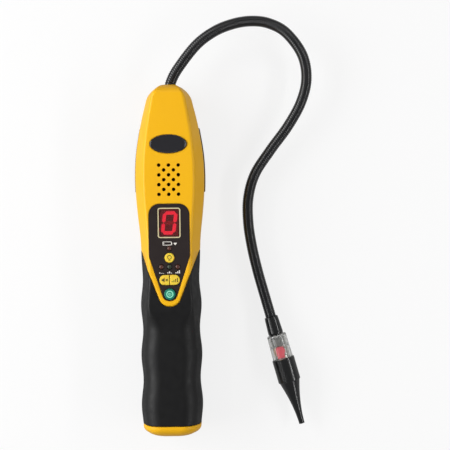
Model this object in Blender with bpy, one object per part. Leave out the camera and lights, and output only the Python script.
"""Refrigerant leak detector: a two-shell case with a rubber grip, a key panel and a gooseneck probe.

Everything is in metres. The detector lies on its back. The origin is in the middle of the rest face,
+Y runs along the case towards the gooseneck, +Z points out of the key side and +X is the probe's side.
"""

import math

import bmesh
import bpy
from mathutils import Matrix, Vector

# Clearances
GAP = 0.0003  # between pieces that touch
RUNNING_GAP = 0.0003  # round a key, the battery cap and the nozzle, which slide

# Case outline, seen from the key side. The grip's length follows from the cells that it holds
HEAD_LENGTH = 0.1075  # from the end of the rubber to the gooseneck's end
PARTING_Z = 0.019  # the plane where the two shells meet, and the gooseneck's height
CASE_FRONT_Z = 0.0385
GRIP_FRONT_Z = 0.0369
FACET_SHARE = 0.73  # width of the flat front against the whole width
BACK_SHARE = 0.80  # the same for the flat back
SHOULDER_RISE = 0.005  # from the parting plane to the bend of the side
SHOULDER_RADIUS = 0.007
FACET_RADIUS = 0.0024
GRIP_FACET_RADIUS = 0.0065
BACK_RADIUS = 0.006
GRIP_HALF_WIDTH = 0.0184  # in the valleys between the finger swells
GRIP_TAPER = 0.004  # widening for each metre towards the cap
WAVE_HEIGHT = 0.00065
WAVE_PITCH = 0.0327
WAVE_DROP = 0.0359  # the highest crest, below the end of the rubber
DOME_DEPTH = 0.0105  # where the sides begin to close, from the gooseneck's end
DOME_DROP = 0.0070  # where the front and the back do
DOME_ANGLE = math.radians(66)
HEAD_WIDTHS = (  # share of the head's length above the rubber, half width
    (-0.0651, 0.0190),
    (0.0744, 0.0196),
    (0.2047, 0.0211),
    (0.3349, 0.0223),
    (0.4558, 0.0226),
    (0.5767, 0.0219),
    (0.6977, 0.0200),
    (0.8000, 0.0178),
    (0.9023, 0.0151),
    (1.0047, 0.0126),
)

# Walls
HEAD_WALL = 0.0022
LINER_WALL = 0.0018
RUBBER = 0.0012  # thinnest, in the valleys
END_WALL = 0.0045  # between the cavity and the gooseneck's end

# Places on the front and the board are given up (or, as a drop, down) from the end of the rubber

# The shell's tongue, which runs down over the rubber round the key panel
TONGUE_HALF_TOP = 0.0190
TONGUE_HALF_BOTTOM = 0.0052
TONGUE_DROP = 0.0362
TONGUE_BOTTOM_RADIUS = 0.007
TONGUE_TOP_RADIUS = 0.001

# Key panel
PANEL_HALF_WIDTH = 0.0130
PANEL_UP = 0.0296
PANEL_BEND_DROP = 0.0040
PANEL_DROP = 0.0326
PANEL_HALF_BOTTOM = 0.0034
PANEL_TOP_RADIUS = 0.007
PANEL_BEND_RADIUS = 0.006
PANEL_BOTTOM_RADIUS = 0.0044
PANEL_THICKNESS = 0.0007

# Display
DISPLAY_UP = 0.0174
WINDOW_SIZE = (0.0120, 0.0178)
WINDOW_RADIUS = 0.0008
WINDOW_THICKNESS = 0.0006
MODULE_SIZE = (0.0126, 0.0190)
MODULE_HEIGHT = 0.0072

# Keys and lamps on the panel
KEY_PROUD = 0.0006
KEY_TRAVEL = 0.0008
KEY_FLANGE = 0.0008  # how far the flange reaches past the key
KEY_FLANGE_THICKNESS = 0.0010
KEY_FOOT = 0.0006  # below the flange
KEY_EDGE = 0.0004
LAMP_KEY_DROP = 0.0050
LAMP_KEY_RADIUS = 0.0031
POWER_KEY_DROP = 0.0283
POWER_KEY_RADIUS = 0.0036
PILL_DROP = 0.0192
PILL_LENGTH = 0.0131
PILL_HEIGHT = 0.0064
PILL_SPLIT = 0.0005
SWITCH_SIDE = 0.0048
SWITCH_HEIGHT = 0.0031
LED_RADIUS = 0.0015
LED_PROUD = 0.0004
LED_HEIGHT = 0.0075
LOW_BATTERY_LED_UP = 0.0010
LEVEL_LED_DROP = 0.0108
LEVEL_LED_SPACING = 0.0052

# Badge and speaker
BADGE_UP = 0.0680
BADGE_HALF_LENGTH = 0.0118
BADGE_HALF_HEIGHT = 0.0060
BADGE_SEAT = 0.0006  # depth of its seat in the shell
BADGE_PROUD = 0.0006
BADGE_RIM = 0.0009
HOLE_ROWS = 7
HOLE_PITCH = 0.00313
HOLE_RADIUS = 0.00118
SPEAKER_UP = 0.0451
SPEAKER_RADIUS = 0.0125
SPEAKER_HEIGHT = 0.0045

# Main board
BOARD_THICKNESS = 0.0016
BOARD_DROP = 0.0345
BOARD_STEP_UP = 0.0080
BOARD_UP = 0.0770
BOARD_HALF_NARROW = 0.0112
BOARD_HALF_WIDE = 0.0119
BOARD_SCREW_LOW = (0.0088, 0.0010)  # across, up
BOARD_SCREW_HIGH = (0.0095, 0.0050)  # across, below the board's top edge
BOARD_BOSS_RADIUS = 0.0022
BOARD_SCREW_RADIUS = 0.0010
BOARD_SCREW_GRIP = 0.0040

# Case screws, from the back
CASE_SCREW_LOW = (0.0120, 0.0230)  # across, up
CASE_SCREW_HIGH = (0.0090, 0.0230)  # across, below the gooseneck's end
POST_RADIUS = 0.0030
SCREW_HEAD_RADIUS = 0.0024
SCREW_HEAD_HEIGHT = 0.0018
SCREW_RADIUS = 0.0012
SCREW_LENGTH = 0.0160
SCREW_SEAT_Z = 0.0100

# Batteries, two columns of two
CELL_RADIUS = 0.0070
CELL_LENGTH = 0.0502
CELL_NUB_RADIUS = 0.0026
CELL_NUB_HEIGHT = 0.0010
CELL_Z = 0.0122
CELL_DROP = 0.0132
SPRING_ROOM = 0.0051  # between the cap's floor and the cells
BULKHEAD_THICKNESS = 0.0016
BULKHEAD_TOP_Z = 0.0172
RIB_THICKNESS = 0.0014
RIB_TOP_Z = 0.0120
RIB_COUNT = 4
CONTACT_THICKNESS = 0.0004
CONTACT_SIDE = 0.0085

# Battery cap
CAP_HEIGHT = 0.0077
CAP_END_WALL = 0.0025
CAP_ROUNDING = 0.0065
CAP_END_SHARE = 0.35  # size of its flat end against its rim
CAP_SKIRT_LENGTH = 0.0040
CAP_SKIRT_WALL = 0.0013
CAP_NUB_RADIUS = 0.0014
CAP_NUB_PROUD = 0.0004
SPRING_WIRE_RADIUS = 0.0004
SPRING_TURNS = 3
SPRING_BASE_RADIUS = 0.0042
SPRING_TIP_RADIUS = 0.0024

# Rubber pad on the back of the head
PAD_UP = 0.0377
PAD_END = 0.0278  # its top edge, below the gooseneck's end
PAD_PROUD = 0.0006
PAD_SEAT = 0.0008

# Gooseneck
NECK_RADIUS = 0.0036
NECK_SEGMENT = 0.0042
NECK_MOUTH_RADIUS = 0.0045
NECK_ROUTE = (  # across, beyond the case's end, height from 1 at the parting plane to 0 at the probe's
    (0.0000, -0.0160, 1.000),
    (0.0000, -0.0100, 1.000),
    (0.0001, -0.0040, 1.000),
    (0.0013, 0.0027, 1.000),
    (0.0061, 0.0117, 0.991),
    (0.0181, 0.0268, 0.974),
    (0.0300, 0.0357, 0.948),
    (0.0420, 0.0406, 0.904),
    (0.0539, 0.0426, 0.843),
    (0.0658, 0.0413, 0.783),
    (0.0776, 0.0350, 0.713),
    (0.0881, 0.0208, 0.635),
    (0.0910, 0.0050, 0.557),
    (0.0873, -0.0107, 0.478),
    (0.0785, -0.0265, 0.400),
    (0.0667, -0.0423, 0.322),
    (0.0562, -0.0581, 0.243),
    (0.0516, -0.0740, 0.183),
    (0.0514, -0.0901, 0.113),
    (0.0536, -0.1061, 0.061),
    (0.0572, -0.1223, 0.017),
    (0.0616, -0.1384, 0.000),
    (0.0659, -0.1537, 0.000),
)
NECK_BEND_KNOT = 5  # it bends halfway from this point of its route to the next
FERRULE_WALL = 0.0012
FERRULE_LENGTH = 0.0105
NUT_HALF_FLATS = 0.0064
NUT_THICKNESS = 0.0040

# Probe head, whose sizes run along its own axis from the gooseneck
PROBE_TURN = math.radians(15.6)  # its axis against -Y, towards +X
COLLAR_LENGTH = 0.0121
COLLAR_MOUTH_RADIUS = 0.0045
COLLAR_NECK_RADIUS = 0.0046
COLLAR_END_RADIUS = 0.0050
COLLAR_SOCKET = 0.0060
RING_LENGTH = 0.0162
RING_START_RADIUS = 0.0064
RING_END_RADIUS = 0.0068
RING_BORE_RADIUS = 0.0052
RING_END_WALL = 0.0012
RING_CHAMFER = 0.0008
SPIGOT_LENGTH = 0.0024
SPIGOT_WALL = 0.0007
NOZZLE_RADIUS = 0.0075
NOZZLE_BARREL = 0.0158
NOZZLE_TAPER = 0.0294
TAPER_CURVE = 1.8  # 1 is a straight cone, more is hollower
NOZZLE_WALL = 0.0012
SPOUT_RADIUS = 0.00185
SPOUT_BORE = 0.0011
NOZZLE_FLATS = 2
NOZZLE_FLAT_DEPTH = 0.0005
PLUG_LENGTH = 0.0060
PLUG_RADIUS = 0.0044
SOCKET_LENGTH = 0.0062
SOCKET_RADIUS = 0.0042
LAMP_RADIUS = 0.0022
SENSOR_RADIUS = 0.0040
SENSOR_LENGTH = 0.0110

# Values that follow from the sizes above
CELLS_LENGTH = 2 * CELL_LENGTH + GAP
CASE_LENGTH = HEAD_LENGTH + CELL_DROP + CELLS_LENGTH + SPRING_ROOM + CAP_END_WALL
CASE_TOP_Y = CASE_LENGTH / 2
CASE_BOTTOM_Y = -CASE_LENGTH / 2
COLOUR_SPLIT_Y = CASE_TOP_Y - HEAD_LENGTH  # rubber below, bare shell above
HEAD_STATIONS = tuple((COLOUR_SPLIT_Y + share * HEAD_LENGTH, half) for share, half in HEAD_WIDTHS)
WAVE_TOP_Y = COLOUR_SPLIT_Y - WAVE_DROP
GRIP_TOP_Y = WAVE_TOP_Y + WAVE_PITCH / 2  # where the swells begin
TONGUE_BOTTOM_Y = COLOUR_SPLIT_Y - TONGUE_DROP
DOME_START_Y = CASE_TOP_Y - DOME_DEPTH
CAVITY_TOP_Y = CASE_TOP_Y - END_WALL
PANEL_TOP_Y = COLOUR_SPLIT_Y + PANEL_UP
PANEL_BEND_Y = COLOUR_SPLIT_Y - PANEL_BEND_DROP
PANEL_BOTTOM_Y = COLOUR_SPLIT_Y - PANEL_DROP
DISPLAY_Y = COLOUR_SPLIT_Y + DISPLAY_UP
LAMP_KEY_Y = COLOUR_SPLIT_Y - LAMP_KEY_DROP
POWER_KEY_Y = COLOUR_SPLIT_Y - POWER_KEY_DROP
PILL_Y = COLOUR_SPLIT_Y - PILL_DROP
LOW_BATTERY_LED_Y = COLOUR_SPLIT_Y + LOW_BATTERY_LED_UP
LEVEL_LED_Y = COLOUR_SPLIT_Y - LEVEL_LED_DROP
BADGE_Y = COLOUR_SPLIT_Y + BADGE_UP
SPEAKER_Y = COLOUR_SPLIT_Y + SPEAKER_UP
BOARD_BOTTOM_Y = COLOUR_SPLIT_Y - BOARD_DROP
BOARD_STEP_Y = COLOUR_SPLIT_Y + BOARD_STEP_UP
BOARD_TOP_Y = COLOUR_SPLIT_Y + BOARD_UP
BOARD_SCREWS = (
    (BOARD_SCREW_LOW[0], COLOUR_SPLIT_Y + BOARD_SCREW_LOW[1]),
    (BOARD_SCREW_HIGH[0], BOARD_TOP_Y - BOARD_SCREW_HIGH[1]),
)
CASE_SCREWS = (
    (CASE_SCREW_LOW[0], COLOUR_SPLIT_Y + CASE_SCREW_LOW[1]),
    (CASE_SCREW_HIGH[0], CASE_TOP_Y - CASE_SCREW_HIGH[1]),
)
PAD_BOTTOM_Y = COLOUR_SPLIT_Y + PAD_UP
PAD_TOP_Y = CASE_TOP_Y - PAD_END
CAP_SEAM_Y = CASE_BOTTOM_Y + CAP_HEIGHT
GRIP_BOTTOM_Y = CAP_SEAM_Y + GAP
LINER_INSET = RUBBER + GAP
CAVITY_INSET = LINER_INSET + LINER_WALL
INNER_FACE_Z = CASE_FRONT_Z - CAVITY_INSET
PANEL_SEAT_Z = CASE_FRONT_Z - PANEL_THICKNESS - GAP
KEY_TOP_Z = CASE_FRONT_Z + KEY_PROUD
FLANGE_TOP_Z = INNER_FACE_Z - GAP
FLANGE_BOTTOM_Z = FLANGE_TOP_Z - KEY_FLANGE_THICKNESS
FOOT_Z = FLANGE_BOTTOM_Z - KEY_FOOT
SWITCH_TOP_Z = FOOT_Z - KEY_TRAVEL - GAP
BOARD_TOP_Z = SWITCH_TOP_Z - SWITCH_HEIGHT - GAP
BOARD_BOTTOM_Z = BOARD_TOP_Z - BOARD_THICKNESS
CELL_X = CELL_RADIUS + GAP
CELL_TOP_Y = COLOUR_SPLIT_Y - CELL_DROP
COLUMN_BOTTOM_Y = CELL_TOP_Y - CELLS_LENGTH
CAP_FLOOR_Y = CASE_BOTTOM_Y + CAP_END_WALL
NECK_KNOTS = tuple(
    (x, CASE_TOP_Y + beyond, NOZZLE_RADIUS + height * (PARTING_Z - NOZZLE_RADIUS))
    for x, beyond, height in NECK_ROUTE
)
PROBE_START = NECK_KNOTS[-1]

# Fineness of the meshes
FACETS = 3  # steps of each rounded corner of a section
INNER_FACETS = 2  # the same inside the case
SWELL_STEPS = 6  # rings in each finger swell
DOME_STEPS = 5
CAP_STEPS = 5
SMALL_HOLE_SIDES = 8

FINISHES = {
    # name: colour, roughness, metallic
    "yellow_abs": ((0.87, 0.50, 0.02), 0.38, 0.0),
    "black_rubber": ((0.018, 0.018, 0.018), 0.72, 0.0),
    "charcoal_film": ((0.030, 0.026, 0.026), 0.45, 0.0),
    "gloss_black": ((0.010, 0.010, 0.011), 0.12, 0.0),
    "key_yellow": ((0.90, 0.66, 0.06), 0.45, 0.0),
    "key_teal": ((0.02, 0.30, 0.22), 0.45, 0.0),
    "red_lens": ((0.22, 0.010, 0.010), 0.15, 0.0),
    "led_red": ((0.32, 0.07, 0.05), 0.20, 0.0),
    "led_green": ((0.07, 0.16, 0.06), 0.20, 0.0),
    "module_grey": ((0.25, 0.25, 0.26), 0.55, 0.0),
    "board_green": ((0.02, 0.15, 0.06), 0.45, 0.0),
    "plated_steel": ((0.62, 0.60, 0.56), 0.30, 1.0),
    "cell_jacket": ((0.05, 0.05, 0.06), 0.35, 0.2),
    "neck_black": ((0.013, 0.013, 0.015), 0.40, 0.0),
    "probe_black": ((0.011, 0.012, 0.012), 0.35, 0.0),
    "clear_lens": ((0.75, 0.76, 0.75), 0.10, 0.0),
    "grey_nylon": ((0.45, 0.45, 0.44), 0.50, 0.0),
    "lamp_red": ((0.70, 0.03, 0.06), 0.20, 0.0),
}


def clear_scene():
    for item in list(bpy.data.objects):
        bpy.data.objects.remove(item, do_unlink=True)


def finish_material(name):
    """The named finish as a Principled material, made once."""
    made = bpy.data.materials.get(name)
    if made:
        return made
    colour, roughness, metallic = FINISHES[name]
    made = bpy.data.materials.new(name)
    made.use_nodes = True
    shader = made.node_tree.nodes["Principled BSDF"]
    shader.inputs["Base Color"].default_value = (*colour, 1.0)
    shader.inputs["Roughness"].default_value = roughness
    shader.inputs["Metallic"].default_value = metallic
    made.diffuse_color = (*colour, 1.0)
    return made


# Outlines and solids


def fillet(before, corner, after, radius, steps):
    """Points of the arc that rounds a corner of an outline."""
    corner = Vector(corner)
    inward = (Vector(before) - corner).normalized()
    outward = (Vector(after) - corner).normalized()
    half = inward.angle(outward) / 2
    reach = radius / math.tan(half)
    centre = corner + (inward + outward).normalized() * radius / math.sin(half)
    spoke = corner + inward * reach - centre
    swing = (corner + outward * reach - centre).angle_signed(spoke)
    points = []
    for step in range(steps + 1):
        angle = swing * step / steps
        turned = Matrix.Rotation(angle, 2) @ spoke
        points.append(tuple(centre + turned))
    return points


def rounded(corners, steps=FACETS):
    """A closed outline from (x, y, radius) corners, each rounded by an arc of the same number of steps."""
    outline = []
    for index, (x, y, radius) in enumerate(corners):
        before = corners[index - 1][:2]
        after = corners[(index + 1) % len(corners)][:2]
        if radius > 0:
            outline += fillet(before, (x, y), after, radius, steps)
        else:
            outline.append((x, y))
    return outline


def lofted(rings):
    """A closed solid through rings with equal counts of points, capped at both ends."""
    mesh = bmesh.new()
    loops = [[mesh.verts.new(point) for point in ring] for ring in rings]
    count = len(rings[0])
    for first, second in zip(loops, loops[1:]):
        for index in range(count):
            after = (index + 1) % count
            mesh.faces.new((first[index], first[after], second[after], second[index]))
    mesh.faces.new(loops[0])
    mesh.faces.new(loops[-1])
    bmesh.ops.recalc_face_normals(mesh, faces=mesh.faces)
    return mesh


def prism(outline, low, high):
    """An outline in X and Y made solid between two heights."""
    return lofted([[(x, y, z) for x, y in outline] for z in (low, high)])


def block(low, high):
    outline = [(low[0], low[1]), (high[0], low[1]), (high[0], high[1]), (low[0], high[1])]
    return prism(outline, low[2], high[2])


def turned(profile, place, segments=24):
    """A closed solid turned round the local Z axis from a closed loop of (radius, height) points."""
    mesh = bmesh.new()
    rings = []
    for radius, height in profile:
        if radius < 1e-7:
            rings.append([mesh.verts.new((0, 0, height))])
            continue
        ring = []
        for index in range(segments):
            angle = math.tau * (index + 0.5) / segments
            ring.append(mesh.verts.new((radius * math.cos(angle), radius * math.sin(angle), height)))
        rings.append(ring)
    for first, second in zip(rings, rings[1:] + rings[:1]):
        for index in range(segments):
            after = (index + 1) % segments
            corners = [first[index % len(first)], first[after % len(first)]]
            corners += [second[after % len(second)], second[index % len(second)]]
            unique = list(dict.fromkeys(corners))
            if len(unique) > 2:
                mesh.faces.new(unique)
    bmesh.ops.recalc_face_normals(mesh, faces=mesh.faces)
    mesh.transform(place)
    return mesh


def upright(x, y, z=0.0):
    """Places a turned piece with its axis along +Z."""
    return Matrix.Translation((x, y, z))


def along_case(x, y, z):
    """Places a turned piece with its axis along +Y."""
    return Matrix.Translation((x, y, z)) @ Matrix.Rotation(-math.pi / 2, 4, "X")


def along_probe(distance=0.0):
    """Places a turned piece on the probe head's axis, this far from the gooseneck's end."""
    heading = Matrix.Rotation(PROBE_TURN, 4, "Z") @ Matrix.Rotation(math.pi / 2, 4, "X")
    return Matrix.Translation(PROBE_START) @ heading @ Matrix.Translation((0, 0, distance))


def cylinder(radius, low, high, place, segments=24):
    return turned([(0, low), (radius, low), (radius, high), (0, high)], place, segments)


def tube(bore, radius, low, high, place, segments=24):
    return turned([(bore, low), (radius, low), (radius, high), (bore, high)], place, segments)


def merged(meshes):
    """Several separate solids as one cutter."""
    whole = bmesh.new()
    for mesh in meshes:
        part = bpy.data.meshes.new("cutter_part")
        mesh.to_mesh(part)
        mesh.free()
        whole.from_mesh(part)
        bpy.data.meshes.remove(part)
    return whole


def as_object(name, mesh, pivot=(0, 0, 0)):
    """An object for a mesh given in world coordinates, with its origin at the pivot."""
    data = bpy.data.meshes.new(name)
    mesh.transform(Matrix.Translation(-Vector(pivot)))
    mesh.to_mesh(data)
    mesh.free()
    made = bpy.data.objects.new(name, data)
    made.location = pivot
    bpy.context.scene.collection.objects.link(made)
    return made


def pivot_at(name, place):
    """An empty on a joint's axis, for the pieces that move together about it."""
    empty = bpy.data.objects.new(name, None)
    empty.location = place
    bpy.context.scene.collection.objects.link(empty)
    return empty


def piece(name, mesh, finish, pivot=(0, 0, 0), carrier=None):
    """A finished sub-part, hung from the piece or the pivot that carries it."""
    made = as_object(name, mesh, pivot)
    if carrier:
        made.parent = carrier
        made.matrix_parent_inverse = Matrix.Translation(carrier.location).inverted()
    made.data.materials.append(finish_material(finish))
    made.data.shade_smooth()
    made.data.set_sharp_from_angle(angle=math.radians(35))
    return made


def combine(target, mesh, operation, label):
    """Joins a shape to a piece, or cuts it away, by a live Boolean."""
    helper = as_object(f"{target.name}_{label}", mesh)
    helper.hide_render = True
    helper.display_type = "WIRE"
    change = target.modifiers.new(label, "BOOLEAN")
    change.operation = operation
    change.solver = "EXACT"
    change.object = helper


def cut(target, mesh, label):
    combine(target, mesh, "DIFFERENCE", label)


def join(target, mesh, label):
    combine(target, mesh, "UNION", label)


# The case's sections


def smoothstep(share):
    share = min(max(share, 0.0), 1.0)
    return share * share * (3 - 2 * share)


def smooth_through(stations, place):
    """A smooth curve through (place, value) stations, level at its first one."""
    index = 0
    while index < len(stations) - 2 and place > stations[index + 1][0]:
        index += 1
    slopes = []
    for knot in (index, index + 1):
        if knot == 0:
            slopes.append(0.0)
            continue
        low = stations[knot - 1]
        high = stations[min(knot + 1, len(stations) - 1)]
        slopes.append((high[1] - low[1]) / (high[0] - low[0]))
    (start, first), (end, last) = stations[index], stations[index + 1]
    span = end - start
    share = (place - start) / span
    blend = smoothstep(share)
    rise = share * (1 - share) ** 2 * slopes[0] * span
    fall = share * share * (share - 1) * slopes[1] * span
    return first * (1 - blend) + last * blend + rise + fall


def swell(y):
    """Height of the finger swells, from 0 in a valley to 1 on a crest."""
    if y > GRIP_TOP_Y:
        return 0.0
    return 0.5 + 0.5 * math.cos(math.tau * (y - WAVE_TOP_Y) / WAVE_PITCH)


def half_width(y, plain=False):
    """Half the case's width, with the finger swells or, for the shell under the rubber, without."""
    if y < GRIP_TOP_Y:
        width = GRIP_HALF_WIDTH + GRIP_TAPER * (GRIP_TOP_Y - y)
        return width if plain else width + 2 * WAVE_HEIGHT * swell(y)
    return smooth_through(((GRIP_TOP_Y, GRIP_HALF_WIDTH),) + HEAD_STATIONS, y)


def front_height(y):
    """Height of the case's front: flat beside the keys, and a little lower on the grip."""
    flat_end = TONGUE_BOTTOM_Y - 2 * GAP
    grip_start = WAVE_TOP_Y - WAVE_PITCH / 2
    share = smoothstep((y - grip_start) / (flat_end - grip_start))
    return GRIP_FRONT_Z * (1 - share) + CASE_FRONT_Z * share


def dome_scale(y, depth):
    """Shrinks the sections over the last stretch before the gooseneck's end."""
    length = depth / math.sin(DOME_ANGLE)
    share = min(max(y - CASE_TOP_Y + depth, 0.0) / length, 1.0)
    return math.sqrt(1 - share * share)


def front_profile(y, inset, plain, edge, steps):
    """The front half of a section as (x, height above the parting plane) points, from +X to -X."""
    side = half_width(y, plain) - inset
    facet = FACET_SHARE * half_width(y, plain) - 0.6 * inset
    top = front_height(y) - inset - PARTING_Z
    round_share = smoothstep((TONGUE_BOTTOM_Y - y) / WAVE_PITCH * 2)
    radius = FACET_RADIUS + (GRIP_FACET_RADIUS - FACET_RADIUS) * round_share
    radius = max(radius - inset / 2, FACET_RADIUS / 2)
    corners = [
        (side, edge, 0),
        (side, SHOULDER_RISE, SHOULDER_RADIUS),
        (facet, top, radius),
        (-facet, top, radius),
        (-side, SHOULDER_RISE, SHOULDER_RADIUS),
        (-side, edge, 0),
    ]
    return rounded(corners, steps)


def back_profile(y, inset, plain, edge, steps):
    """The back half of a section, from -X to +X."""
    side = half_width(y, plain) - inset
    flat = BACK_SHARE * half_width(y, plain) - 0.6 * inset
    depth = inset - PARTING_Z
    radius = BACK_RADIUS - inset / 2
    corners = [
        (-side, -edge, 0),
        (-side, -SHOULDER_RISE, SHOULDER_RADIUS),
        (-flat, depth, radius),
        (flat, depth, radius),
        (side, -SHOULDER_RISE, SHOULDER_RADIUS),
        (side, -edge, 0),
    ]
    return rounded(corners, steps)


def section(y, half, inset=0.0, plain=False, edge=GAP / 2, steps=FACETS):
    """One ring of the case at a distance along it: its front, its back or both."""
    if half == "front":
        outline = front_profile(y, inset, plain, edge, steps)
    elif half == "back":
        outline = back_profile(y, inset, plain, edge, steps)
    else:
        outline = front_profile(y, inset, plain, 0, steps)[:-1]
        outline += back_profile(y, inset, plain, 0, steps)[:-1]
    across = dome_scale(y, DOME_DEPTH)
    up = dome_scale(y, DOME_DROP)
    ring = []
    for x, height in outline:
        at_edge = half != "both" and abs(abs(height) - edge) < 1e-9
        ring.append((x * across, y, PARTING_Z + (height if at_edge else height * up)))
    return ring


def stations(start, end, plain=False):
    """Places along the case that follow its swells, its head and its dome."""
    places = [start, end]
    if not plain:
        rings = math.ceil((GRIP_TOP_Y - CASE_BOTTOM_Y) / WAVE_PITCH * SWELL_STEPS)
        places += [GRIP_TOP_Y - WAVE_PITCH * ring / SWELL_STEPS for ring in range(rings)]
    places += [GRIP_TOP_Y, COLOUR_SPLIT_Y] + [y for y, _ in HEAD_STATIONS if y < DOME_START_Y]
    places += [TONGUE_BOTTOM_Y, WAVE_TOP_Y - WAVE_PITCH / 2]
    for depth in (DOME_DEPTH, DOME_DROP):
        for step in range(DOME_STEPS):
            share = math.sin(DOME_ANGLE * step / DOME_STEPS) / math.sin(DOME_ANGLE)
            places.append(CASE_TOP_Y - depth * (1 - share))
    kept = []
    for place in sorted(places):
        if start <= place <= end and (not kept or place - kept[-1] > 0.0009):
            kept.append(place)
    kept[-1] = end
    return kept


def case_solid(start, end, half, inset=0.0, plain=False, edge=GAP / 2):
    return lofted([section(y, half, inset, plain, edge) for y in stations(start, end, plain)])


# Outlines on the front


def mirrored_outline(corners):
    """A closed outline from the (x, y, radius) corners of its right side, listed downwards."""
    left = [(-x, y, radius) for x, y, radius in reversed(corners)]
    return rounded(corners + left)


def tongue_outline(grow=0.0):
    """The bare shell's share of the front: all of the head, and the tongue."""
    beyond = 2 * TONGUE_HALF_TOP
    return mirrored_outline(
        [
            (beyond, CASE_TOP_Y + beyond, 0),
            (beyond, COLOUR_SPLIT_Y - grow, 0),
            (TONGUE_HALF_TOP + grow, COLOUR_SPLIT_Y - grow, TONGUE_TOP_RADIUS),
            (TONGUE_HALF_BOTTOM + grow, TONGUE_BOTTOM_Y - grow, TONGUE_BOTTOM_RADIUS),
        ]
    )


def panel_outline(grow=0.0):
    return mirrored_outline(
        [
            (PANEL_HALF_WIDTH + grow, PANEL_TOP_Y + grow, PANEL_TOP_RADIUS + grow),
            (PANEL_HALF_WIDTH + grow, PANEL_BEND_Y, PANEL_BEND_RADIUS),
            (PANEL_HALF_BOTTOM + grow, PANEL_BOTTOM_Y - grow, PANEL_BOTTOM_RADIUS),
        ]
    )


def rectangle(centre_y, size, grow, radius):
    half_x = size[0] / 2 + grow
    half_y = size[1] / 2 + grow
    corners = [(half_x, centre_y + half_y, radius), (half_x, centre_y - half_y, radius)]
    return mirrored_outline(corners)


def pill_outline(side, grow=0.0):
    """One half of the pill, to the left (-1) or right (+1) of its split."""
    end = PILL_HEIGHT / 2
    inner = PILL_SPLIT / 2 - grow
    outer = PILL_LENGTH / 2 + grow
    half = end + grow
    corners = [
        (side * inner, PILL_Y + half, 0.0),
        (side * outer, PILL_Y + half, half * 0.98),
        (side * outer, PILL_Y - half, half * 0.98),
        (side * inner, PILL_Y - half, 0.0),
    ]
    return rounded(corners, steps=6)


def circle_outline(x, y, radius, segments=24):
    points = []
    for index in range(segments):
        angle = math.tau * (index + 0.5) / segments
        points.append((x + radius * math.cos(angle), y + radius * math.sin(angle)))
    return points


def speaker_holes():
    """Centres of the sound holes: rows of three and of two, one pitch apart."""
    centres = []
    for row in range(HOLE_ROWS):
        y = SPEAKER_Y + (row - (HOLE_ROWS - 1) / 2) * HOLE_PITCH
        columns = (-2, 0, 2) if row % 2 == 0 else (-1, 1)
        centres += [(column * HOLE_PITCH, y) for column in columns]
    return centres


def led_places():
    return {
        "led_low_battery": (0.0, LOW_BATTERY_LED_Y),
        "led_level_low": (-LEVEL_LED_SPACING, LEVEL_LED_Y),
        "led_level_normal": (0.0, LEVEL_LED_Y),
        "led_level_high": (LEVEL_LED_SPACING, LEVEL_LED_Y),
    }


def key_outlines(grow=0.0):
    """The four keys' outlines by name."""
    return {
        "key_lamp": circle_outline(0, LAMP_KEY_Y, LAMP_KEY_RADIUS + grow),
        "key_left": pill_outline(-1, grow),
        "key_right": pill_outline(1, grow),
        "key_power": circle_outline(0, POWER_KEY_Y, POWER_KEY_RADIUS + grow),
    }


def key_slots(grow):
    """The openings that the keys travel in, the pill's two halves sharing one."""
    whole_pill = rectangle(PILL_Y, (PILL_LENGTH, PILL_HEIGHT), grow, (PILL_HEIGHT / 2 + grow) * 0.98)
    outlines = key_outlines(grow)
    return [outlines["key_lamp"], whole_pill, outlines["key_power"]]


def both_sides(places):
    return [(side * x, y) for x, y in places for side in (-1, 1)]


# Case


def cavity():
    """The hollow of the case, open towards the battery cap."""
    below = CASE_BOTTOM_Y - CAP_HEIGHT
    places = [below, GRIP_BOTTOM_Y, WAVE_TOP_Y - WAVE_PITCH / 2, TONGUE_BOTTOM_Y]
    places.append(COLOUR_SPLIT_Y)
    rings = [section(y, "both", CAVITY_INSET, plain=True, steps=INNER_FACETS) for y in places]
    for y in stations(COLOUR_SPLIT_Y + 3 * HEAD_WALL, CAVITY_TOP_Y, plain=True):
        rings.append(section(y, "both", HEAD_WALL, plain=True, steps=INNER_FACETS))
    return lofted(rings)


def neck_mouth():
    """The hole in the case's end for the gooseneck, flared outwards."""
    bore = NECK_RADIUS + GAP
    depth = CASE_TOP_Y - CAVITY_TOP_Y
    profile = [
        (0, -depth - HEAD_WALL),
        (bore, -depth - HEAD_WALL),
        (bore, -depth * 0.6),
        (NECK_MOUTH_RADIUS, 0),
        (NECK_MOUTH_RADIUS, HEAD_WALL),
        (0, HEAD_WALL),
    ]
    return turned(profile, along_case(0, CASE_TOP_Y, PARTING_Z))


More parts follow.
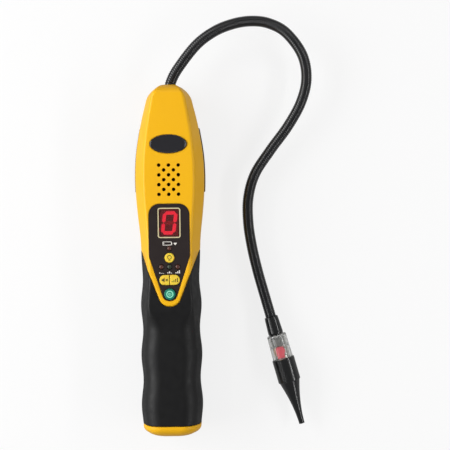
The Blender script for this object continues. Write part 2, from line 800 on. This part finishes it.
def front_shell():
    """Upper shell: the head, the tongue round the keys, and the liner under the rubber."""
    shell = piece(
        "front_shell",
        case_solid(GRIP_BOTTOM_Y, COLOUR_SPLIT_Y + HEAD_WALL, "front", LINER_INSET, plain=True),
        "yellow_abs",
    )
    head = as_object("front_shell_head", case_solid(TONGUE_BOTTOM_Y - GAP, CASE_TOP_Y, "front"))
    head.hide_render = True
    head.display_type = "WIRE"
    combine(head, prism(tongue_outline(), 0, 2 * CASE_FRONT_Z), "INTERSECT", "bare_area")
    change = shell.modifiers.new("head", "BOOLEAN")
    change.operation = "UNION"
    change.object = head
    cut(shell, cavity(), "cavity")
    cut(shell, prism(panel_outline(GAP), PANEL_SEAT_Z, 2 * CASE_FRONT_Z), "panel_seat")
    cut(shell, prism(oval(GAP), CASE_FRONT_Z - BADGE_SEAT, 2 * CASE_FRONT_Z), "badge_seat")
    bosses = []
    for x, y in both_sides(BOARD_SCREWS):
        bosses.append(
            cylinder(BOARD_BOSS_RADIUS, BOARD_TOP_Z + GAP, CASE_FRONT_Z - LINER_WALL, upright(x, y), 12)
        )
    for x, y in both_sides(CASE_SCREWS):
        top = CASE_FRONT_Z - HEAD_WALL / 2
        bosses.append(cylinder(POST_RADIUS, PARTING_Z + GAP / 2, top, upright(x, y), 16))
    join(shell, merged(bosses), "bosses")
    holes = []
    for x, y in both_sides(BOARD_SCREWS):
        top = BOARD_TOP_Z + BOARD_SCREW_GRIP + GAP
        holes.append(cylinder(BOARD_SCREW_RADIUS + GAP, BOARD_BOTTOM_Z, top, upright(x, y), 12))
    for x, y in both_sides(CASE_SCREWS):
        top = SCREW_SEAT_Z + SCREW_LENGTH + GAP
        holes.append(cylinder(SCREW_RADIUS + GAP, SCREW_SEAT_Z, top, upright(x, y), 12))
    for x, y in speaker_holes():
        holes.append(cylinder(HOLE_RADIUS, INNER_FACE_Z, 2 * CASE_FRONT_Z, upright(x, y), SMALL_HOLE_SIDES))
    for outline in key_slots(RUNNING_GAP):
        holes.append(prism(outline, INNER_FACE_Z - GAP, 2 * CASE_FRONT_Z))
    for x, y in led_places().values():
        holes.append(cylinder(LED_RADIUS + GAP, INNER_FACE_Z - GAP, 2 * CASE_FRONT_Z, upright(x, y), 12))
    holes.append(prism(rectangle(DISPLAY_Y, MODULE_SIZE, GAP, 0.0), INNER_FACE_Z - GAP, 2 * CASE_FRONT_Z))
    holes.append(neck_mouth())
    cut(shell, merged(holes), "holes")
    return shell


def cross_wall(y, thickness, top):
    """A wall across the rear shell, rooted in the liner and level at its top."""
    ring = section(y, "back", LINER_INSET + LINER_WALL / 2, plain=True)
    outline = []
    for (x, _, z), (after_x, _, after_z) in zip(ring, ring[1:]):
        if z <= top:
            outline.append((x, z))
        if (z - top) * (after_z - top) < 0:
            share = (top - z) / (after_z - z)
            outline.append((x + (after_x - x) * share, top))
    return lofted([[(x, place, z) for x, z in outline] for place in (y, y + thickness)])


def rear_shell():
    """Lower shell: the back of the head, the liner, the battery cradle and the screw posts."""
    shell = piece(
        "rear_shell",
        case_solid(GRIP_BOTTOM_Y, COLOUR_SPLIT_Y + HEAD_WALL, "back", LINER_INSET, plain=True),
        "yellow_abs",
    )
    join(shell, case_solid(COLOUR_SPLIT_Y, CASE_TOP_Y, "back"), "head")
    cut(shell, cavity(), "cavity")
    bulkhead_y = CELL_TOP_Y + CONTACT_THICKNESS + 2 * GAP
    walls = [cross_wall(bulkhead_y, BULKHEAD_THICKNESS, BULKHEAD_TOP_Z)]
    for rib in range(RIB_COUNT):
        y = COLUMN_BOTTOM_Y + (rib + 0.5) * 2 * CELL_LENGTH / RIB_COUNT
        walls.append(cross_wall(y, RIB_THICKNESS, RIB_TOP_Z))
    for x, y in both_sides(CASE_SCREWS):
        walls.append(
            cylinder(POST_RADIUS, HEAD_WALL / 2, PARTING_Z - GAP / 2, upright(x, y), 16)
        )
    join(shell, merged(walls), "cradle")
    trim = []
    for side in (-1, 1):
        place = along_case(side * CELL_X, COLUMN_BOTTOM_Y - CAP_HEIGHT, CELL_Z)
        length = CELL_TOP_Y + GAP - COLUMN_BOTTOM_Y + CAP_HEIGHT
        trim.append(cylinder(CELL_RADIUS + GAP, 0, length, place))
    for x, y in both_sides(CASE_SCREWS):
        head = SCREW_HEAD_RADIUS + GAP
        shank = SCREW_RADIUS + GAP
        profile = [(0, -HEAD_WALL), (head, -HEAD_WALL), (head, SCREW_SEAT_Z), (shank, SCREW_SEAT_Z)]
        profile += [(shank, 2 * PARTING_Z), (0, 2 * PARTING_Z)]
        trim.append(turned(profile, upright(x, y), 12))
    trim.append(neck_mouth())
    for side, mesh in zip(("left", "right"), trim[:2]):
        cut(shell, mesh, f"cell_{side}")
    cut(shell, merged(trim[2:]), "holes")
    pad_seat = case_solid(PAD_BOTTOM_Y - GAP, PAD_TOP_Y + GAP, "back", -2 * PAD_PROUD, plain=True)
    cut(shell, hollowed_pad(pad_seat, PAD_SEAT), "pad_seat")
    return shell


def hollowed_pad(outer, depth):
    """The C-shaped room between an outer case solid and one that lies this deep in the shell."""
    block_object = as_object(f"pad_outer_{round(depth * 1e6)}", outer)
    core = case_solid(
        PAD_BOTTOM_Y - CAP_HEIGHT, PAD_TOP_Y + CAP_HEIGHT, "back", depth, plain=True, edge=-HEAD_WALL
    )
    cut(block_object, core, "core")
    bpy.context.view_layer.update()
    evaluated = block_object.evaluated_get(bpy.context.evaluated_depsgraph_get())
    result = bmesh.new()
    result.from_mesh(evaluated.to_mesh())
    evaluated.to_mesh_clear()
    for helper in (bpy.data.objects[f"{block_object.name}_core"], block_object):
        bpy.data.objects.remove(helper, do_unlink=True)
    return result


def rear_pad():
    """Black rubber pad let into the back of the head, a little proud at its sides and flat below."""
    outer = case_solid(PAD_BOTTOM_Y, PAD_TOP_Y, "back", -PAD_PROUD, plain=True)
    pad = piece("rear_pad", hollowed_pad(outer, PAD_SEAT - GAP), "black_rubber")
    below = block((-CASE_LENGTH, PAD_BOTTOM_Y - GAP, -CASE_LENGTH), (CASE_LENGTH, PAD_TOP_Y + GAP, 0))
    cut(pad, below, "rest_plane")


def grips():
    """The rubber moulded over each shell, with three finger swells."""
    for name, half in (("front_grip", "front"), ("rear_grip", "back")):
        grip = piece(name, case_solid(GRIP_BOTTOM_Y, COLOUR_SPLIT_Y, half), "black_rubber")
        liner = case_solid(
            GRIP_BOTTOM_Y - CAP_HEIGHT, COLOUR_SPLIT_Y + CAP_HEIGHT, half, RUBBER, plain=True, edge=-CAP_HEIGHT
        )
        cut(grip, liner, "liner")
        if half == "front":
            cut(grip, prism(tongue_outline(GAP), 0, 2 * CASE_FRONT_Z), "tongue")
        else:
            low = (-CASE_LENGTH, COLOUR_SPLIT_Y - GAP, -CASE_LENGTH)
            cut(grip, block(low, (CASE_LENGTH, CASE_LENGTH, CASE_LENGTH)), "split")


def oval(grow=0.0, segments=32):
    """The badge's outline."""
    points = []
    for index in range(segments):
        angle = math.tau * index / segments
        x = (BADGE_HALF_LENGTH + grow) * math.cos(angle)
        points.append((x, BADGE_Y + (BADGE_HALF_HEIGHT + grow) * math.sin(angle)))
    return points


def badge():
    """Bare oval badge with a raised rim."""
    bottom = CASE_FRONT_Z - BADGE_SEAT + GAP
    top = CASE_FRONT_Z + BADGE_PROUD
    steps = (
        (0.0, bottom),
        (0.0, top - BADGE_RIM / 3),
        (-BADGE_RIM / 3, top),
        (-BADGE_RIM, top),
        (-1.4 * BADGE_RIM, top - BADGE_RIM / 3),
    )
    piece("badge", lofted([[(x, y, z) for x, y in oval(grow)] for grow, z in steps]), "gloss_black")


# Panel, keys and board


def key_panel():
    """Charcoal cover film with its cut-outs, set into the front shell."""
    low = CASE_FRONT_Z - PANEL_THICKNESS
    panel = piece("key_panel", prism(panel_outline(), low, CASE_FRONT_Z), "charcoal_film")
    holes = [prism(outline, low - GAP, 2 * CASE_FRONT_Z) for outline in key_slots(RUNNING_GAP)]
    for x, y in led_places().values():
        holes.append(cylinder(LED_RADIUS + GAP, low - GAP, 2 * CASE_FRONT_Z, upright(x, y), 12))
    window = rectangle(DISPLAY_Y, WINDOW_SIZE, GAP, WINDOW_RADIUS)
    holes.append(prism(window, low - GAP, 2 * CASE_FRONT_Z))
    cut(panel, merged(holes), "cut_outs")


def display():
    """The clear red window and the one-digit module behind it."""
    window = rectangle(DISPLAY_Y, WINDOW_SIZE, 0.0, WINDOW_RADIUS)
    piece("display_window", prism(window, CASE_FRONT_Z - WINDOW_THICKNESS, CASE_FRONT_Z), "red_lens")
    bottom = BOARD_TOP_Z + GAP
    top = min(bottom + MODULE_HEIGHT, CASE_FRONT_Z - WINDOW_THICKNESS - GAP)
    outline = rectangle(DISPLAY_Y, MODULE_SIZE, 0.0, 0.0)
    inner = rectangle(DISPLAY_Y, MODULE_SIZE, -KEY_EDGE, 0.0)
    rings = [[(x, y, bottom) for x, y in outline], [(x, y, top - KEY_EDGE) for x, y in outline]]
    rings.append([(x, y, top) for x, y in inner])
    piece("display_module", lofted(rings), "module_grey")


def keys():
    """The four keys, each with a softened top, a holding flange and a foot over its switch."""
    finishes = {"key_power": "key_teal"}
    for name, outline in key_outlines().items():
        edge = key_outlines(-KEY_EDGE)[name]
        rings = [
            [(x, y, FLANGE_TOP_Z - KEY_FLANGE_THICKNESS / 2) for x, y in outline],
            [(x, y, KEY_TOP_Z - KEY_EDGE) for x, y in outline],
            [(x, y, KEY_TOP_Z) for x, y in edge],
        ]
        centre_x = sum(x for x, _ in outline) / len(outline)
        centre_y = sum(y for _, y in outline) / len(outline)
        key = piece(name, lofted(rings), finishes.get(name, "key_yellow"), (centre_x, centre_y, KEY_TOP_Z))
        flange = key_flange(name)
        join(key, prism(flange, FLANGE_BOTTOM_Z, FLANGE_TOP_Z), "flange")
        foot = circle_outline(centre_x, centre_y, SWITCH_SIDE / 4, 12)
        join(key, prism(foot, FOOT_Z, FLANGE_TOP_Z - KEY_FLANGE_THICKNESS / 2), "foot")
        half = SWITCH_SIDE / 2
        low = (centre_x - half, centre_y - half, BOARD_TOP_Z + GAP)
        high = (centre_x + half, centre_y + half, SWITCH_TOP_Z)
        piece(name.replace("key", "switch"), block(low, high), "gloss_black")


def key_flange(name):
    """The outline of a key's flange. The two pill keys keep clear of each other."""
    if name in ("key_left", "key_right"):
        side = -1 if name == "key_left" else 1
        grown = pill_outline(side, KEY_FLANGE)
        limit = PILL_SPLIT / 2
        return [(side * max(side * x, limit), y) for x, y in grown]
    return key_outlines(KEY_FLANGE)[name]


def leds():
    """Four small lamps with domed lenses."""
    finishes = {"led_level_normal": "led_green"}
    top = CASE_FRONT_Z + LED_PROUD
    for name, (x, y) in led_places().items():
        profile = [(0, top - LED_HEIGHT), (LED_RADIUS, top - LED_HEIGHT), (LED_RADIUS, top - LED_RADIUS / 2)]
        profile += [(LED_RADIUS * 0.8, top - LED_RADIUS / 8), (0, top)]
        piece(name, turned(profile, upright(x, y), 12), finishes.get(name, "led_red"))


def board():
    """The main board on its bosses, with the screws that hold it."""
    corners = [
        (BOARD_HALF_WIDE, BOARD_TOP_Y, 0.0),
        (BOARD_HALF_WIDE, BOARD_STEP_Y, 0.0),
        (BOARD_HALF_NARROW, BOARD_STEP_Y, 0.0),
        (BOARD_HALF_NARROW, BOARD_BOTTOM_Y, 0.0),
    ]
    plate = piece("main_board", prism(mirrored_outline(corners), BOARD_BOTTOM_Z, BOARD_TOP_Z), "board_green")
    holes = []
    for index, (x, y) in enumerate(both_sides(BOARD_SCREWS)):
        holes.append(
            cylinder(BOARD_SCREW_RADIUS + GAP, BOARD_BOTTOM_Z - GAP, CASE_FRONT_Z, upright(x, y), 12)
        )
        head = 2 * BOARD_SCREW_RADIUS
        seat = BOARD_BOTTOM_Z - GAP
        profile = [(0, seat - head / 2), (head, seat - head / 2), (head, seat), (BOARD_SCREW_RADIUS, seat)]
        tip = BOARD_TOP_Z + BOARD_SCREW_GRIP
        profile += [(BOARD_SCREW_RADIUS, tip), (0, tip)]
        piece(f"board_screw_{index + 1}", turned(profile, upright(x, y), 12), "plated_steel")
    for x, y in both_sides(CASE_SCREWS):
        holes.append(cylinder(POST_RADIUS + GAP, BOARD_BOTTOM_Z - GAP, CASE_FRONT_Z, upright(x, y), 16))
    cut(plate, merged(holes), "holes")


def case_screws():
    for index, (x, y) in enumerate(both_sides(CASE_SCREWS)):
        seat = SCREW_SEAT_Z - GAP
        low = seat - SCREW_HEAD_HEIGHT
        profile = [(0, low), (SCREW_HEAD_RADIUS, low), (SCREW_HEAD_RADIUS, seat), (SCREW_RADIUS, seat)]
        profile += [(SCREW_RADIUS, seat + SCREW_LENGTH), (0, seat + SCREW_LENGTH)]
        piece(f"case_screw_{index + 1}", turned(profile, upright(x, y), 12), "plated_steel")


def speaker():
    """Round speaker with its basket and magnet, behind the sound holes."""
    top = CASE_FRONT_Z - HEAD_WALL - GAP
    profile = [
        (0, top - SPEAKER_HEIGHT),
        (SPEAKER_RADIUS * 0.5, top - SPEAKER_HEIGHT),
        (SPEAKER_RADIUS * 0.5, top - SPEAKER_HEIGHT * 0.6),
        (SPEAKER_RADIUS * 0.85, top - SPEAKER_HEIGHT * 0.3),
        (SPEAKER_RADIUS, top - SPEAKER_HEIGHT * 0.3),
        (SPEAKER_RADIUS, top),
        (SPEAKER_RADIUS * 0.9, top),
        (SPEAKER_RADIUS * 0.8, top - SPEAKER_HEIGHT * 0.15),
        (SPEAKER_RADIUS * 0.3, top - SPEAKER_HEIGHT * 0.3),
        (0, top - SPEAKER_HEIGHT * 0.2),
    ]
    piece("speaker", turned(profile, upright(0, SPEAKER_Y), 20), "module_grey")


# Batteries and cap


def batteries():
    """Four cells in two columns that face opposite ways, and the contacts at their inner ends."""
    shoulder = CELL_LENGTH - CELL_NUB_HEIGHT
    profile = [(0, 0), (CELL_RADIUS, 0), (CELL_RADIUS, shoulder), (CELL_NUB_RADIUS, shoulder)]
    profile += [(CELL_NUB_RADIUS, CELL_LENGTH), (0, CELL_LENGTH)]
    number = 1
    for side in (-1, 1):
        for row in range(2):
            low = COLUMN_BOTTOM_Y + row * (CELL_LENGTH + GAP)
            place = along_case(side * CELL_X, low, CELL_Z)
            if side > 0:
                place = along_case(CELL_X, low + CELL_LENGTH, CELL_Z) @ Matrix.Rotation(math.pi, 4, "X")
            piece(f"battery_{number}", turned(profile, place, 16), "cell_jacket")
            number += 1
        name = "left" if side < 0 else "right"
        half = CONTACT_SIDE / 2
        low = (side * CELL_X - half, CELL_TOP_Y + GAP, CELL_Z - half)
        high = (side * CELL_X + half, CELL_TOP_Y + GAP + CONTACT_THICKNESS, BULKHEAD_TOP_Z)
        piece(f"contact_{name}", block(low, high), "plated_steel")


def end_cap():
    """The yellow battery cap, with its skirt, the contact plate that links the columns and two springs."""
    solid = [cap_ring(CAP_SEAM_Y, 1.0)]
    for step in range(CAP_STEPS + 1):
        angle = math.pi / 2 * step / CAP_STEPS
        y = CASE_BOTTOM_Y + CAP_ROUNDING * (1 - math.sin(angle))
        solid.append(cap_ring(y, CAP_END_SHARE + (1 - CAP_END_SHARE) * math.cos(angle)))
    cap = piece("end_cap", lofted(solid), "yellow_abs", (0, CAP_SEAM_Y, PARTING_Z))
    skirt_low = CAP_SEAM_Y - CAP_HEIGHT / 3
    skirt_high = CAP_SEAM_Y + CAP_SKIRT_LENGTH
    skirt_inset = CAVITY_INSET + RUNNING_GAP
    outer = [section(y, "both", skirt_inset, plain=True) for y in (skirt_low, skirt_high)]
    join(cap, lofted(outer), "skirt")
    inner_inset = skirt_inset + CAP_SKIRT_WALL
    inner = [section(y, "both", inner_inset, plain=True) for y in (CAP_FLOOR_Y, skirt_high + GAP)]
    cut(cap, lofted(inner), "hollow")
    nub = cylinder(CAP_NUB_RADIUS, -CAP_NUB_PROUD, CAP_END_WALL / 2, along_case(0, CASE_BOTTOM_Y, PARTING_Z), 12)
    join(cap, nub, "nub")
    ways = []
    for side in (-1, 1):
        place = along_case(side * CELL_X, COLUMN_BOTTOM_Y - GAP, CELL_Z)
        ways.append(cylinder(CELL_RADIUS + RUNNING_GAP, 0, 2 * CAP_SKIRT_LENGTH, place))
    for label, mesh in zip(("cell_left", "cell_right"), ways):
        cut(cap, mesh, label)
    plate_low = CAP_FLOOR_Y + GAP
    plate_high = plate_low + CONTACT_THICKNESS
    reach = CELL_X + CONTACT_SIDE / 2
    low = (-reach, plate_low, CELL_Z - CONTACT_SIDE / 2)
    high = (reach, plate_high, CELL_Z + CONTACT_SIDE / 2)
    piece("cap_contact", block(low, high), "plated_steel", carrier=cap)
    for name, side in (("cap_spring_left", -1), ("cap_spring_right", 1)):
        place = along_case(side * CELL_X, plate_high + GAP, CELL_Z)
        length = COLUMN_BOTTOM_Y - GAP - plate_high - GAP
        piece(name, cone_spring(length, place), "plated_steel", carrier=cap)


def cap_ring(y, scale):
    """A ring of the cap: the case's own section, smaller towards the end."""
    flat = section(CAP_SEAM_Y, "both")
    return [(x * scale, y, PARTING_Z + (z - PARTING_Z) * scale) for x, _, z in flat]


def cone_spring(length, place):
    """A wire coil that narrows from its plate to the cell."""
    steps = 9 * SPRING_TURNS
    rise = length - 2 * SPRING_WIRE_RADIUS
    mesh = bmesh.new()
    loops = []
    sides = 5
    for step in range(steps + 1):
        share = step / steps
        angle = math.tau * SPRING_TURNS * share
        radius = SPRING_BASE_RADIUS + (SPRING_TIP_RADIUS - SPRING_BASE_RADIUS) * share
        spoke = Vector((math.cos(angle), math.sin(angle), 0))
        centre = spoke * radius + Vector((0, 0, SPRING_WIRE_RADIUS + rise * share))
        loop = []
        for side in range(sides):
            turn = math.tau * side / sides
            offset = spoke * math.cos(turn) + Vector((0, 0, math.sin(turn)))
            loop.append(mesh.verts.new(centre + offset * SPRING_WIRE_RADIUS))
        loops.append(loop)
    for first, second in zip(loops, loops[1:]):
        for side in range(sides):
            after = (side + 1) % sides
            mesh.faces.new((first[side], first[after], second[after], second[side]))
    mesh.faces.new(loops[0])
    mesh.faces.new(loops[-1])
    bmesh.ops.recalc_face_normals(mesh, faces=mesh.faces)
    mesh.transform(place)
    return mesh


# Gooseneck and probe


def route_points():
    """Points along a smooth curve through the gooseneck's route, one segment apart."""
    knots = [Vector(point) for point in NECK_KNOTS]
    heading = (Matrix.Rotation(PROBE_TURN, 3, "Z") @ Vector((0, -1, 0))).normalized()
    end = Vector(PROBE_START) + heading * (COLLAR_SOCKET - GAP)
    knots.append(end)
    knots = [2 * knots[0] - knots[1]] + knots + [2 * knots[-1] - knots[-2]]
    fine = []
    for before, start, stop, after in zip(knots, knots[1:], knots[2:], knots[3:]):
        for step in range(20):
            share = step / 20
            slope_in = (stop - before) / 2
            slope_out = (after - start) / 2
            blend = smoothstep(share)
            point = start * (1 - blend) + stop * blend
            point += slope_in * share * (1 - share) ** 2 + slope_out * share * share * (share - 1)
            fine.append(point)
    fine.append(end)
    kept = [fine[0]]
    travelled = 0.0
    for previous, point in zip(fine, fine[1:]):
        travelled += (point - previous).length
        if travelled >= NECK_SEGMENT:
            kept.append(point)
            travelled = 0.0
    kept[-1] = end
    return kept


def gooseneck():
    """The semi-rigid hose as a plain round tube along its bend."""
    points = route_points()
    data = bpy.data.curves.new("gooseneck", "CURVE")
    data.dimensions = "3D"
    data.bevel_depth = NECK_RADIUS
    data.bevel_resolution = 2
    data.use_fill_caps = True
    spline = data.splines.new("POLY")
    spline.points.add(len(points) - 1)
    for target, point in zip(spline.points, points):
        target.co = (*point, 1.0)
    neck = bpy.data.objects.new("gooseneck", data)
    data.materials.append(finish_material("neck_black"))
    bpy.context.scene.collection.objects.link(neck)


def neck_fixing():
    """The ferrule on the gooseneck's inner end and the lock nut that clamps it in the case."""
    bore = NECK_RADIUS + GAP
    outer = bore + FERRULE_WALL
    top = CAVITY_TOP_Y - GAP
    place = along_case(0, 0, PARTING_Z)
    piece("neck_ferrule", tube(bore, outer, top - FERRULE_LENGTH, top, place, 24), "plated_steel")
    low = top - NUT_THICKNESS
    corner = NUT_HALF_FLATS / math.cos(math.pi / 6)
    nut = piece("lock_nut", cylinder(corner, low, top, place, 6), "plated_steel")
    cut(nut, cylinder(outer + GAP, low - GAP, top + GAP, place), "bore")


def probe():
    """Collar, clear lamp ring with what shows in it, sensor and nozzle, all on one axis."""
    place = along_probe()
    before, after = (Vector(NECK_KNOTS[NECK_BEND_KNOT + step]) for step in (0, 1))
    bend = pivot_at("neck_bend", (before + after) / 2)
    bore = NECK_RADIUS + GAP
    collar = [
        (bore, 0),
        (COLLAR_MOUTH_RADIUS - GAP, 0),
        (COLLAR_MOUTH_RADIUS, GAP),
        (COLLAR_MOUTH_RADIUS, COLLAR_LENGTH * 0.1),
        (COLLAR_NECK_RADIUS, COLLAR_LENGTH * 0.16),
        (COLLAR_END_RADIUS, COLLAR_LENGTH * 0.9),
        (COLLAR_END_RADIUS - GAP, COLLAR_LENGTH),
        (0, COLLAR_LENGTH),
        (0, COLLAR_SOCKET),
        (bore, COLLAR_SOCKET),
    ]
    piece("probe_collar", turned(collar, place, 20), "probe_black", carrier=bend)

    ring_start = COLLAR_LENGTH + GAP
    ring_end = ring_start + RING_LENGTH
    spigot_radius = RING_BORE_RADIUS + SPIGOT_WALL
    ring = [
        (0, ring_start),
        (RING_START_RADIUS - RING_CHAMFER, ring_start),
        (RING_START_RADIUS, ring_start + RING_CHAMFER),
        (RING_END_RADIUS, ring_end),
        (spigot_radius, ring_end),
        (spigot_radius, ring_end + SPIGOT_LENGTH),
        (RING_BORE_RADIUS, ring_end + SPIGOT_LENGTH),
        (RING_BORE_RADIUS, ring_start + RING_END_WALL),
        (0, ring_start + RING_END_WALL),
    ]
    piece("lamp_ring", turned(ring, place), "clear_lens", carrier=bend)

    plug_start = ring_start + RING_END_WALL + GAP
    plug_end = plug_start + PLUG_LENGTH
    plug = cylinder(PLUG_RADIUS, plug_start, plug_end, place)
    piece("sensor_plug", plug, "grey_nylon", carrier=bend)
    socket_start = plug_end + GAP
    socket_end = socket_start + SOCKET_LENGTH
    round_socket = cylinder(SOCKET_RADIUS, socket_start, socket_end, place)
    socket = piece("sensor_socket", round_socket, "grey_nylon", carrier=bend)
    seat = along_probe(socket_start + SOCKET_LENGTH / 2) @ Matrix.Rotation(math.pi / 2, 4, "X")
    pocket = LAMP_RADIUS + GAP
    cut(socket, cylinder(pocket, -2 * pocket, -SOCKET_RADIUS / 4, seat, 16), "lamp_pocket")
    lamp = [(0, -RING_BORE_RADIUS + GAP), (LAMP_RADIUS * 0.7, -RING_BORE_RADIUS + 2 * GAP)]
    lamp += [(LAMP_RADIUS, -SOCKET_RADIUS + GAP), (LAMP_RADIUS, -SOCKET_RADIUS / 4 - GAP)]
    lamp += [(0, -SOCKET_RADIUS / 4 - GAP)]
    piece("tip_lamp", turned(lamp, seat, 16), "lamp_red", carrier=bend)

    sensor_start = socket_end + GAP
    sensor = [
        (0, sensor_start),
        (SENSOR_RADIUS, sensor_start),
        (SENSOR_RADIUS, sensor_start + SENSOR_LENGTH - GAP),
        (SENSOR_RADIUS * 0.9, sensor_start + SENSOR_LENGTH),
        (0, sensor_start + SENSOR_LENGTH),
    ]
    piece("sensor", turned(sensor, place), "plated_steel", carrier=bend)

    nozzle_start = ring_end + GAP
    shoulder = nozzle_start + NOZZLE_BARREL
    tip = shoulder + NOZZLE_TAPER
    inner_radius = spigot_radius + RUNNING_GAP
    outside = [(inner_radius, nozzle_start), (NOZZLE_RADIUS - GAP, nozzle_start)]
    outside += [(NOZZLE_RADIUS, nozzle_start + GAP), (NOZZLE_RADIUS, shoulder - GAP)]
    steps = 5
    for step in range(steps + 1):
        share = step / steps
        radius = taper_radius(share, NOZZLE_RADIUS - 2 * GAP, SPOUT_RADIUS)
        outside.append((radius, shoulder + NOZZLE_TAPER * share))
    inside = []
    for step in range(steps + 1):
        share = 1 - step / steps
        radius = taper_radius(share, NOZZLE_RADIUS - NOZZLE_WALL, SPOUT_BORE)
        inside.append((min(radius, inner_radius), shoulder + NOZZLE_TAPER * share))
    pivot = tuple(place @ Vector((0, 0, nozzle_start)))
    nozzle = piece("nozzle", turned(outside + inside, place), "probe_black", pivot, bend)
    marks = []
    for index in range(NOZZLE_FLATS):
        turn = along_probe(nozzle_start + NOZZLE_BARREL * 0.62) @ Matrix.Rotation(
            math.tau * index / NOZZLE_FLATS + math.radians(70), 4, "Z"
        )
        slot = block(
            (-NOZZLE_RADIUS * 0.12, NOZZLE_RADIUS - NOZZLE_FLAT_DEPTH, -NOZZLE_BARREL * 0.2),
            (NOZZLE_RADIUS * 0.12, 2 * NOZZLE_RADIUS, NOZZLE_BARREL * 0.2),
        )
        slot.transform(turn)
        marks.append(slot)
    cut(nozzle, merged(marks), "marks")


def taper_radius(share, wide, narrow):
    """The nozzle's hollow curve from its barrel to its spout."""
    return narrow + (wide - narrow) * (1 - share) ** TAPER_CURVE


def build():
    clear_scene()
    front_shell()
    rear_shell()
    rear_pad()
    grips()
    badge()
    key_panel()
    display()
    keys()
    leds()
    board()
    case_screws()
    speaker()
    batteries()
    end_cap()
    gooseneck()
    neck_fixing()
    probe()


build()
